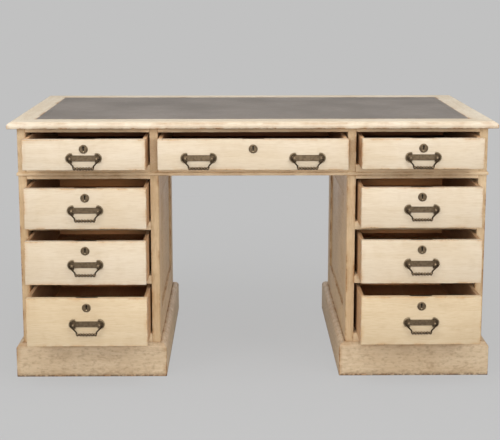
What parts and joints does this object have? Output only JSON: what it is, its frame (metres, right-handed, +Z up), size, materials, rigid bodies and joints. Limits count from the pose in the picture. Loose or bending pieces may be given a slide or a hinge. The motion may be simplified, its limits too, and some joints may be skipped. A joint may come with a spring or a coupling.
{
  "type": "pedestal desk",
  "caption": "Kneehole pedestal desk in pale oak with a leather-lined top, frieze drawers over graduated pedestal drawers, swinging bail handles, locks and skirted plinths.",
  "frame": {"origin": "on the floor, under the middle of the whole desk with its drawers standing open as at rest", "axes": "+Z up, +X to the right of someone sitting at the desk, +Y from the sitter towards the back"},
  "size_m": [1.4, 0.8128, 0.758],
  "materials": {
    "pale_oak": "limed and waxed oak",
    "carcass_oak": "unpolished wood",
    "drawer_oak": "limed oak front on a dark stained box",
    "writing_leather": "worn grained leather",
    "aged_brass": "dark patinated brass",
    "lock_steel": "worn steel"
  },
  "bodies": {
    "desk": {"leather_inset": "writing_leather", "top_panel": "carcass_oak", "top_border_front": "pale_oak", "top_border_back": "pale_oak", "top_border_ends": "pale_oak", "frieze_sides": "pale_oak", "frieze_dividers": "pale_oak", "frieze_back": "pale_oak", "frieze_front_rails": "pale_oak", "frieze_bead": "pale_oak", "frieze_runners": "carcass_oak", "left_pedestal_side_frames": "pale_oak", "left_pedestal_back_frame": "pale_oak", "left_pedestal_panels": "pale_oak", "left_pedestal_front_rails": "pale_oak", "left_pedestal_runners": "carcass_oak", "left_plinth": "pale_oak", "right_pedestal_side_frames": "pale_oak", "right_pedestal_back_frame": "pale_oak", "right_pedestal_panels": "pale_oak", "right_pedestal_front_rails": "pale_oak", "right_pedestal_runners": "carcass_oak", "right_plinth": "pale_oak"},
    "drawer_frieze_left": {"drawer_frieze_left": "drawer_oak", "fittings_frieze_left": "aged_brass"},
    "bail_frieze_left": {"bail_frieze_left": "aged_brass"},
    "bolt_frieze_left": {"bolt_frieze_left": "lock_steel"},
    "drawer_frieze_centre": {"drawer_frieze_centre": "drawer_oak", "fittings_frieze_centre": "aged_brass"},
    "bail_frieze_centre_left": {"bail_frieze_centre_left": "aged_brass"},
    "bail_frieze_centre_right": {"bail_frieze_centre_right": "aged_brass"},
    "bolt_frieze_centre": {"bolt_frieze_centre": "lock_steel"},
    "drawer_frieze_right": {"drawer_frieze_right": "drawer_oak", "fittings_frieze_right": "aged_brass"},
    "bail_frieze_right": {"bail_frieze_right": "aged_brass"},
    "bolt_frieze_right": {"bolt_frieze_right": "lock_steel"},
    "drawer_left_upper": {"drawer_left_upper": "drawer_oak", "fittings_left_upper": "aged_brass"},
    "bail_left_upper": {"bail_left_upper": "aged_brass"},
    "bolt_left_upper": {"bolt_left_upper": "lock_steel"},
    "drawer_left_middle": {"drawer_left_middle": "drawer_oak", "fittings_left_middle": "aged_brass"},
    "bail_left_middle": {"bail_left_middle": "aged_brass"},
    "bolt_left_middle": {"bolt_left_middle": "lock_steel"},
    "drawer_left_lower": {"drawer_left_lower": "drawer_oak", "fittings_left_lower": "aged_brass"},
    "bail_left_lower": {"bail_left_lower": "aged_brass"},
    "bolt_left_lower": {"bolt_left_lower": "lock_steel"},
    "drawer_right_upper": {"drawer_right_upper": "drawer_oak", "fittings_right_upper": "aged_brass"},
    "bail_right_upper": {"bail_right_upper": "aged_brass"},
    "bolt_right_upper": {"bolt_right_upper": "lock_steel"},
    "drawer_right_middle": {"drawer_right_middle": "drawer_oak", "fittings_right_middle": "aged_brass"},
    "bail_right_middle": {"bail_right_middle": "aged_brass"},
    "bolt_right_middle": {"bolt_right_middle": "lock_steel"},
    "drawer_right_lower": {"drawer_right_lower": "drawer_oak", "fittings_right_lower": "aged_brass"},
    "bail_right_lower": {"bail_right_lower": "aged_brass"},
    "bolt_right_lower": {"bolt_right_lower": "lock_steel"}
  },
  "joints": [
    {"name": "frieze_left_slide", "type": "slide", "parent": "desk", "child": "drawer_frieze_left", "axis": [0, -1, 0], "range_m": [-0.096, 0.324]},
    {"name": "frieze_left_bail", "type": "hinge", "parent": "drawer_frieze_left", "child": "bail_frieze_left", "pos_m": [-0.4735, -0.38062, 0.6655], "axis": [-1, 0, 0], "range_deg": [-12, 180]},
    {"name": "frieze_left_bolt", "type": "slide", "parent": "drawer_frieze_left", "child": "bolt_frieze_left", "axis": [0, 0, 1], "range_m": [0, 0.0111]},
    {"name": "frieze_centre_slide", "type": "slide", "parent": "desk", "child": "drawer_frieze_centre", "axis": [0, -1, 0], "range_m": [-0.095, 0.325]},
    {"name": "frieze_centre_left_bail", "type": "hinge", "parent": "drawer_frieze_centre", "child": "bail_frieze_centre_left", "pos_m": [-0.153, -0.37962, 0.6655], "axis": [-1, 0, 0], "range_deg": [-12, 180]},
    {"name": "frieze_centre_right_bail", "type": "hinge", "parent": "drawer_frieze_centre", "child": "bail_frieze_centre_right", "pos_m": [0.151, -0.37962, 0.6655], "axis": [-1, 0, 0], "range_deg": [-12, 180]},
    {"name": "frieze_centre_bolt", "type": "slide", "parent": "drawer_frieze_centre", "child": "bolt_frieze_centre", "axis": [0, 0, 1], "range_m": [0, 0.0111]},
    {"name": "frieze_right_slide", "type": "slide", "parent": "desk", "child": "drawer_frieze_right", "axis": [0, -1, 0], "range_m": [-0.087, 0.333]},
    {"name": "frieze_right_bail", "type": "hinge", "parent": "drawer_frieze_right", "child": "bail_frieze_right", "pos_m": [0.4765, -0.37162, 0.6655], "axis": [-1, 0, 0], "range_deg": [-12, 180]},
    {"name": "frieze_right_bolt", "type": "slide", "parent": "drawer_frieze_right", "child": "bolt_frieze_right", "axis": [0, 0, 1], "range_m": [0, 0.0111]},
    {"name": "left_upper_slide", "type": "slide", "parent": "desk", "child": "drawer_left_upper", "axis": [0, -1, 0], "range_m": [-0.095, 0.325]},
    {"name": "left_upper_bail", "type": "hinge", "parent": "drawer_left_upper", "child": "bail_left_upper", "pos_m": [-0.473, -0.37962, 0.51675], "axis": [-1, 0, 0], "range_deg": [-12, 180]},
    {"name": "left_upper_bolt", "type": "slide", "parent": "drawer_left_upper", "child": "bolt_left_upper", "axis": [0, 0, 1], "range_m": [0, 0.0141]},
    {"name": "left_middle_slide", "type": "slide", "parent": "desk", "child": "drawer_left_middle", "axis": [0, -1, 0], "range_m": [-0.101, 0.319]},
    {"name": "left_middle_bail", "type": "hinge", "parent": "drawer_left_middle", "child": "bail_left_middle", "pos_m": [-0.475, -0.38562, 0.36075], "axis": [-1, 0, 0], "range_deg": [-12, 180]},
    {"name": "left_middle_bolt", "type": "slide", "parent": "drawer_left_middle", "child": "bolt_left_middle", "axis": [0, 0, 1], "range_m": [0, 0.0141]},
    {"name": "left_lower_slide", "type": "slide", "parent": "desk", "child": "drawer_left_lower", "axis": [0, -1, 0], "range_m": [-0.117, 0.303]},
    {"name": "left_lower_bail", "type": "hinge", "parent": "drawer_left_lower", "child": "bail_left_lower", "pos_m": [-0.473, -0.40163, 0.19225], "axis": [-1, 0, 0], "range_deg": [-12, 180]},
    {"name": "left_lower_bolt", "type": "slide", "parent": "drawer_left_lower", "child": "bolt_left_lower", "axis": [0, 0, 1], "range_m": [0, 0.0141]},
    {"name": "right_upper_slide", "type": "slide", "parent": "desk", "child": "drawer_right_upper", "axis": [0, -1, 0], "range_m": [-0.09, 0.33]},
    {"name": "right_upper_bail", "type": "hinge", "parent": "drawer_right_upper", "child": "bail_right_upper", "pos_m": [0.476, -0.37462, 0.51675], "axis": [-1, 0, 0], "range_deg": [-12, 180]},
    {"name": "right_upper_bolt", "type": "slide", "parent": "drawer_right_upper", "child": "bolt_right_upper", "axis": [0, 0, 1], "range_m": [0, 0.0141]},
    {"name": "right_middle_slide", "type": "slide", "parent": "desk", "child": "drawer_right_middle", "axis": [0, -1, 0], "range_m": [-0.095, 0.325]},
    {"name": "right_middle_bail", "type": "hinge", "parent": "drawer_right_middle", "child": "bail_right_middle", "pos_m": [0.478, -0.37962, 0.36075], "axis": [-1, 0, 0], "range_deg": [-12, 180]},
    {"name": "right_middle_bolt", "type": "slide", "parent": "drawer_right_middle", "child": "bolt_right_middle", "axis": [0, 0, 1], "range_m": [0, 0.0141]},
    {"name": "right_lower_slide", "type": "slide", "parent": "desk", "child": "drawer_right_lower", "axis": [0, -1, 0], "range_m": [-0.111, 0.309]},
    {"name": "right_lower_bail", "type": "hinge", "parent": "drawer_right_lower", "child": "bail_right_lower", "pos_m": [0.478, -0.39563, 0.19225], "axis": [-1, 0, 0], "range_deg": [-12, 180]},
    {"name": "right_lower_bolt", "type": "slide", "parent": "drawer_right_lower", "child": "bolt_right_lower", "axis": [0, 0, 1], "range_m": [0, 0.0141]}
  ]
}
